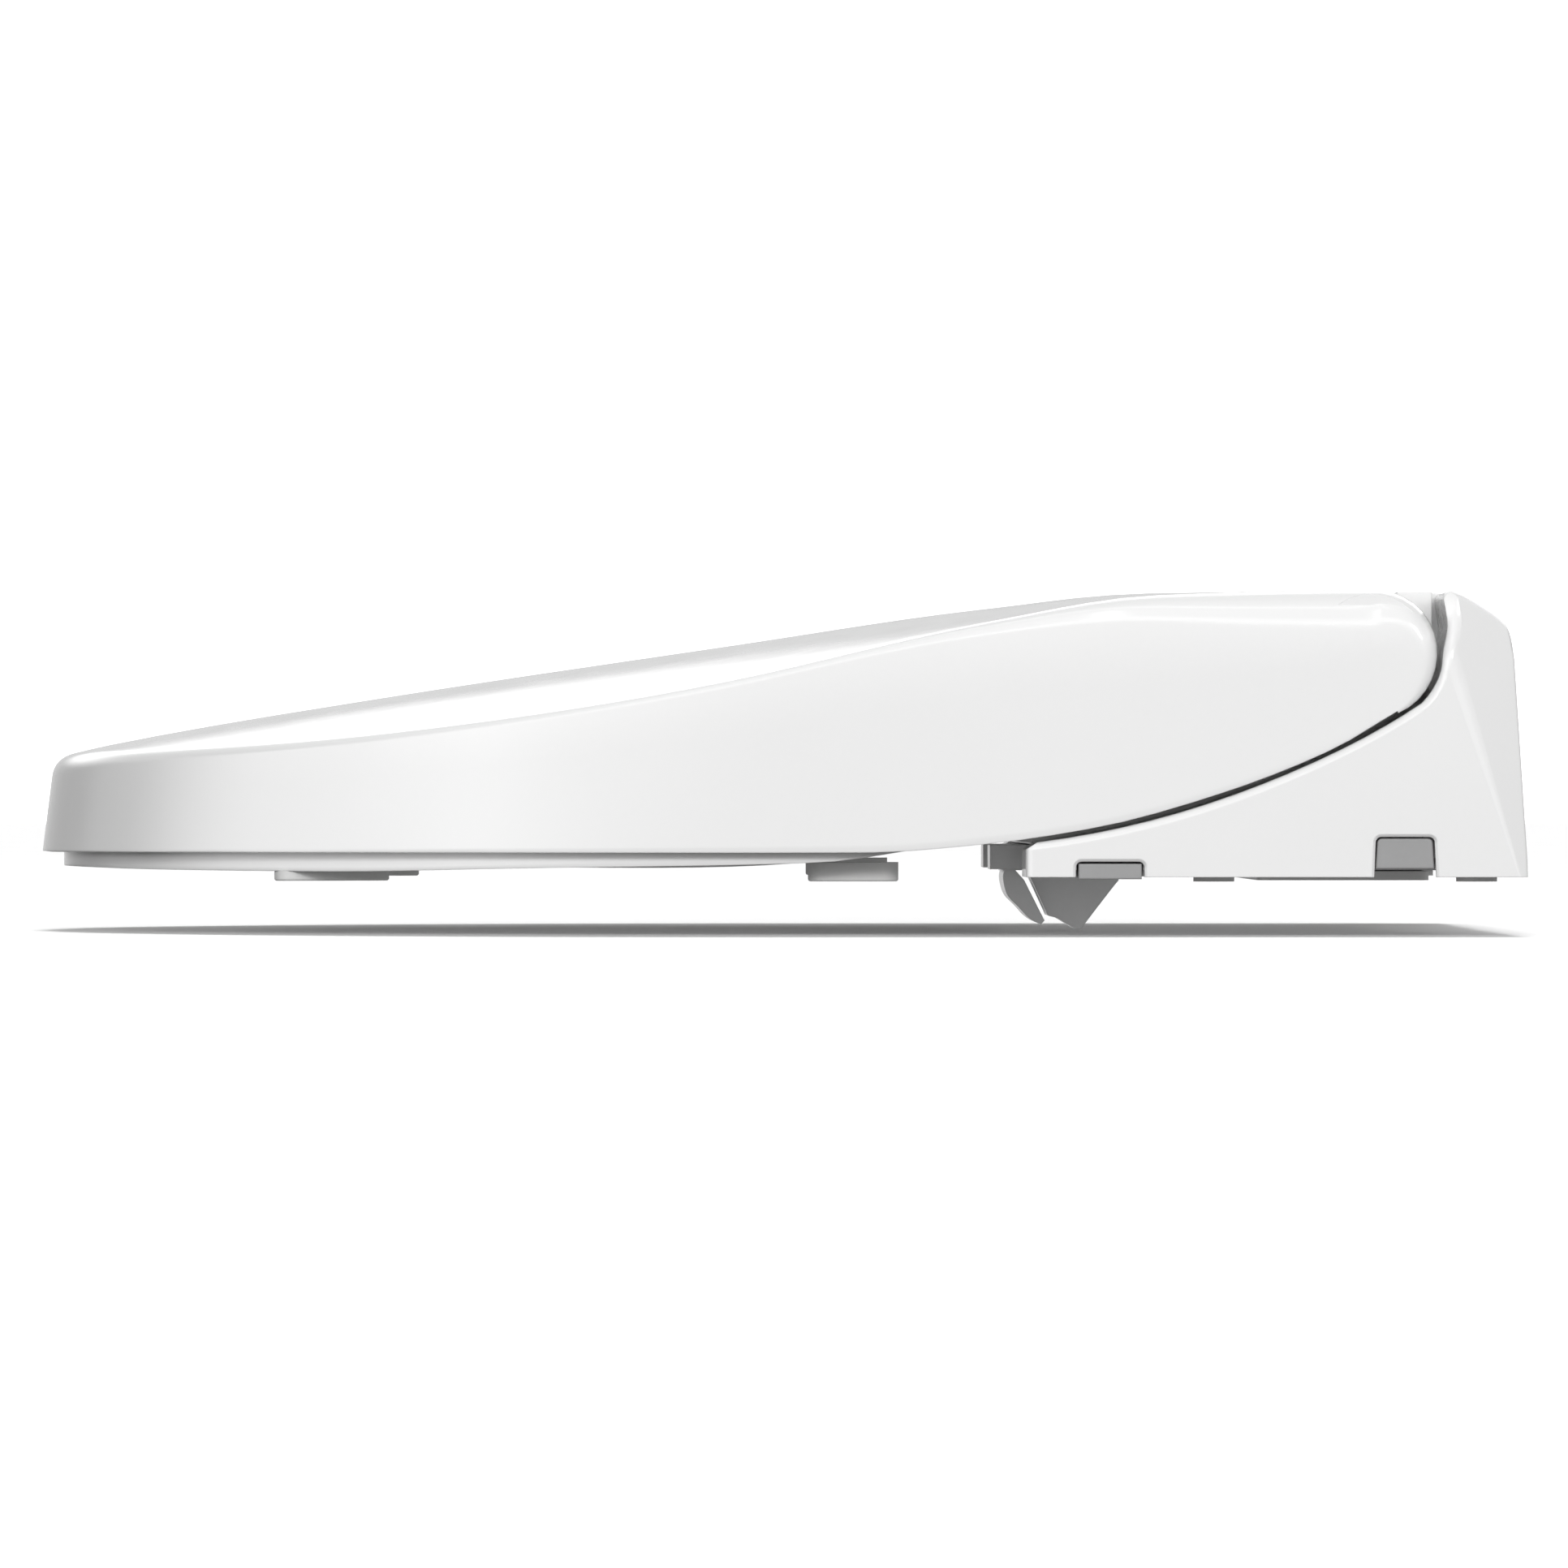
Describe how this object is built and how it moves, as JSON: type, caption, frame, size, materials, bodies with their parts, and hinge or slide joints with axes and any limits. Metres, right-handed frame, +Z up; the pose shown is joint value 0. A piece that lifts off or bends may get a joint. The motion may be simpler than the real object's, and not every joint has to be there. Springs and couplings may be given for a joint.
{
  "type": "electric bidet seat",
  "caption": "Elongated electric bidet toilet seat with a crowned lid, heated ring seat, rear housing, retractable wash wand and a slide-on mounting plate.",
  "frame": {"origin": "midway between the two bolt slots, on the underside of the mounting plate, where it rests on the toilet's deck", "axes": "+Z up, the front of the seat towards -Y, +X to the right-hand side seen from the front looking rearwards along +Y; the hinge line is parallel to X"},
  "size_m": [0.38, 0.5205, 0.1204],
  "materials": {
    "white_shell": "gloss",
    "white_inner": "satin",
    "grey_plastic": "satin",
    "dark_plastic": "matte",
    "steel": "satin",
    "brass": "satin",
    "rubber_grey": "matte",
    "rubber_dark": "matte",
    "board_green": "satin",
    "hose": "satin",
    "foil": "satin",
    "lens": "gloss",
    "motor_can": "satin"
  },
  "bodies": {
    "bracket": {"mounting_plate": "white_inner"},
    "housing": {"base_pan": "white_inner", "rear_cover": "white_shell", "nozzle_guide": "white_inner", "nozzle_motor": "motor_can", "nozzle_guard": "grey_plastic", "gate_pin": "steel", "lid_damper": "dark_plastic", "seat_damper": "dark_plastic", "inlet_connector": "brass", "inlet_filter": "grey_plastic", "solenoid_valve": "dark_plastic", "water_pump": "dark_plastic", "water_heater": "white_inner", "blower_housing": "dark_plastic", "blower_motor": "motor_can", "dryer_duct": "white_inner", "control_board": "board_green", "power_supply": "dark_plastic", "cord_gland": "rubber_grey", "supply_hose": "hose", "pump_hose": "hose", "wand_hose": "hose", "status_lens": "lens", "base_feet": "rubber_grey", "cover_screws": "steel"},
    "seat": {"seat_top": "white_shell", "seat_bottom": "white_inner", "seat_heater": "foil", "seat_bumpers_front": "rubber_grey", "seat_bumpers_rear": "rubber_grey", "seat_hinge_bushes": "grey_plastic", "seat_hinge_shaft": "steel"},
    "lid": {"lid_shell": "white_shell", "lid_bumpers": "rubber_grey", "lid_hinge_shaft": "steel", "lid_hinge_bush": "grey_plastic"},
    "wand": {"nozzle_wand": "white_inner"},
    "pinion": {"drive_pinion": "dark_plastic"},
    "gate": {"nozzle_gate": "grey_plastic"},
    "release": {"release_button": "grey_plastic"},
    "filter": {"filter_cartridge": "grey_plastic"},
    "vent_flap": {"dryer_flap": "white_shell"},
    "fan": {"blower_impeller": "grey_plastic"},
    "power": {"power_key": "white_shell"},
    "clean": {"clean_key": "white_shell"}
  },
  "joints": [
    {"name": "dock_slide", "type": "slide", "parent": "bracket", "child": "housing", "axis": [0, -1, 0], "range_m": [0, 0.07]},
    {"name": "seat_hinge", "type": "hinge", "parent": "housing", "child": "seat", "pos_m": [0, 0.0066, 0.0783], "axis": [1, 0, 0], "range_deg": [-92, 0]},
    {"name": "lid_hinge", "type": "hinge", "parent": "seat", "child": "lid", "pos_m": [0, 0.0066, 0.0783], "axis": [-1, 0, 0], "range_deg": [0, 93]},
    {"name": "wand_slide", "type": "slide", "parent": "housing", "child": "wand", "axis": [0, -0.8508, -0.5255], "range_m": [0, 0.058]},
    {"name": "pinion_spin", "type": "hinge", "parent": "housing", "child": "pinion", "pos_m": [0, -0.06173, 0.03545], "axis": [1, 0, 0], "range_deg": [-640, 640]},
    {"name": "gate_hinge", "type": "hinge", "parent": "housing", "child": "gate", "pos_m": [0, -0.112, 0.007], "axis": [-1, 0, 0], "range_deg": [-1, 105.4]},
    {"name": "release_push", "type": "slide", "parent": "housing", "child": "release", "axis": [-1, 0, 0], "range_m": [0, 0.004], "stiffness_N_per_m": 800, "springref_m": -0.001},
    {"name": "filter_slide", "type": "slide", "parent": "housing", "child": "filter", "axis": [1, 0, 0], "range_m": [0, 0.05]},
    {"name": "vent_flap_hinge", "type": "hinge", "parent": "housing", "child": "vent_flap", "pos_m": [0.078, -0.10151, 0.0343], "axis": [-1, 0, 0], "range_deg": [0, 50]},
    {"name": "fan_spin", "type": "hinge", "parent": "housing", "child": "fan", "pos_m": [0.07, -0.034, 0.04], "axis": [1, 0, 0], "continuous": true},
    {"name": "power_press", "type": "slide", "parent": "housing", "child": "power", "axis": [0, 0, -1], "range_m": [0, 0.0012], "stiffness_N_per_m": 600, "springref_m": -0.0005},
    {"name": "clean_press", "type": "slide", "parent": "housing", "child": "clean", "axis": [0, 0, -1], "range_m": [0, 0.0012], "stiffness_N_per_m": 600, "springref_m": -0.0005}
  ],
  "couplings": [
    {"joint": "pinion_spin", "follows": "wand_slide", "rad_per_m": -166.67},
    {"joint": "gate_hinge", "follows": "wand_slide", "rad_per_m": 31.416}
  ]
}
